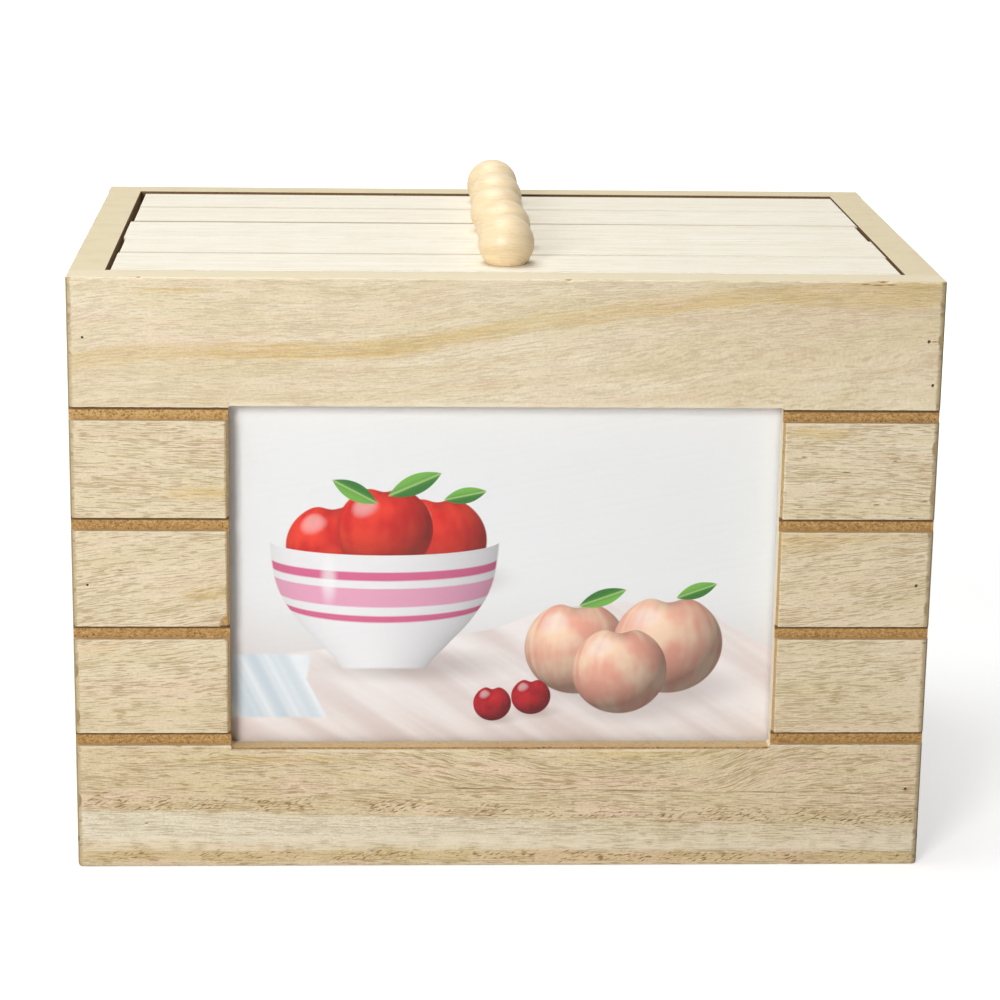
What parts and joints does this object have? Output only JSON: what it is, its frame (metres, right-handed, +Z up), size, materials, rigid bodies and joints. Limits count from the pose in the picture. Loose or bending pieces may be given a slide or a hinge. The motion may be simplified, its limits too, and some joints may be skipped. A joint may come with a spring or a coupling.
{
  "type": "photo storage box",
  "caption": "Veneered box for storing photographs, with a picture window in its front wall and lift-out albums whose wooden header strips close the top and carry ball knobs.",
  "frame": {"origin": "centre of the base, on the surface the box stands on", "axes": "+X to the right of a person facing the window, -Y towards that person, +Z up"},
  "size_m": [0.23, 0.15, 0.176],
  "materials": {
    "fibreboard": "raw medium density fibreboard, fine brown fleck, paler on sanded edges",
    "face_veneer": "unfinished pale veneer with a long horizontal grain and short brown pores",
    "header_wood": "unfinished near-white wood, fine straight grain along the strip",
    "knob_wood": "turned, fine sanded, bare wood",
    "steel": "plain zinc-plated steel",
    "post_metal": "bright turned aluminium",
    "cover_board": "kraft paper over grey board, faint fibres",
    "leaf_film": "clear film pockets round white prints",
    "clear_plastic": "clear polished sheet",
    "photo_paper": "satin photographic print",
    "hardboard": "thin brown hardboard"
  },
  "bodies": {
    "case": {"front_panel": "fibreboard", "front_veneer_top": "face_veneer", "front_veneer_bottom": "face_veneer", "front_veneer_left": "face_veneer", "front_veneer_right": "face_veneer", "left_panel": "fibreboard", "left_veneer": "face_veneer", "right_panel": "fibreboard", "right_veneer": "face_veneer", "back_panel": "fibreboard", "back_veneer": "face_veneer", "base_panel": "fibreboard", "front_brads": "steel", "back_brads": "steel", "base_brads": "steel", "clear_pane": "clear_plastic", "window_print": "photo_paper", "backing_board": "hardboard", "turn_button_screws": "steel"},
    "album_1": {"album_1_header": "header_wood", "album_1_knob": "knob_wood", "album_1_knob_screw": "steel", "album_1_front_cover": "cover_board", "album_1_back_cover": "cover_board", "album_1_leaves": "leaf_film", "album_1_posts": "post_metal"},
    "album_2": {"album_2_header": "header_wood", "album_2_knob": "knob_wood", "album_2_knob_screw": "steel", "album_2_front_cover": "cover_board", "album_2_back_cover": "cover_board", "album_2_leaves": "leaf_film", "album_2_posts": "post_metal"},
    "album_3": {"album_3_header": "header_wood", "album_3_knob": "knob_wood", "album_3_knob_screw": "steel", "album_3_front_cover": "cover_board", "album_3_back_cover": "cover_board", "album_3_leaves": "leaf_film", "album_3_posts": "post_metal"},
    "album_4": {"album_4_header": "header_wood", "album_4_knob": "knob_wood", "album_4_knob_screw": "steel", "album_4_front_cover": "cover_board", "album_4_back_cover": "cover_board", "album_4_leaves": "leaf_film", "album_4_posts": "post_metal"},
    "album_5": {"album_5_header": "header_wood", "album_5_knob": "knob_wood", "album_5_knob_screw": "steel", "album_5_front_cover": "cover_board", "album_5_back_cover": "cover_board", "album_5_leaves": "leaf_film", "album_5_posts": "post_metal"},
    "turn_button_1": {"turn_button_1": "steel"},
    "turn_button_2": {"turn_button_2": "steel"},
    "turn_button_3": {"turn_button_3": "steel"},
    "turn_button_4": {"turn_button_4": "steel"}
  },
  "joints": [
    {"name": "album_1_lift", "type": "slide", "parent": "case", "child": "album_1", "axis": [0, 0, 1], "range_m": [0, 0.165]},
    {"name": "album_2_lift", "type": "slide", "parent": "case", "child": "album_2", "axis": [0, 0, 1], "range_m": [0, 0.165]},
    {"name": "album_3_lift", "type": "slide", "parent": "case", "child": "album_3", "axis": [0, 0, 1], "range_m": [0, 0.165]},
    {"name": "album_4_lift", "type": "slide", "parent": "case", "child": "album_4", "axis": [0, 0, 1], "range_m": [0, 0.165]},
    {"name": "album_5_lift", "type": "slide", "parent": "case", "child": "album_5", "axis": [0, 0, 1], "range_m": [0, 0.165]},
    {"name": "turn_button_1_pivot", "type": "hinge", "parent": "case", "child": "turn_button_1", "pos_m": [-0.045, -0.065, 0.02355], "axis": [0, 1, 0], "continuous": true},
    {"name": "turn_button_2_pivot", "type": "hinge", "parent": "case", "child": "turn_button_2", "pos_m": [0.045, -0.065, 0.02355], "axis": [0, 1, 0], "continuous": true},
    {"name": "turn_button_3_pivot", "type": "hinge", "parent": "case", "child": "turn_button_3", "pos_m": [-0.045, -0.065, 0.13915], "axis": [0, 1, 0], "continuous": true},
    {"name": "turn_button_4_pivot", "type": "hinge", "parent": "case", "child": "turn_button_4", "pos_m": [0.045, -0.065, 0.13915], "axis": [0, 1, 0], "continuous": true}
  ]
}
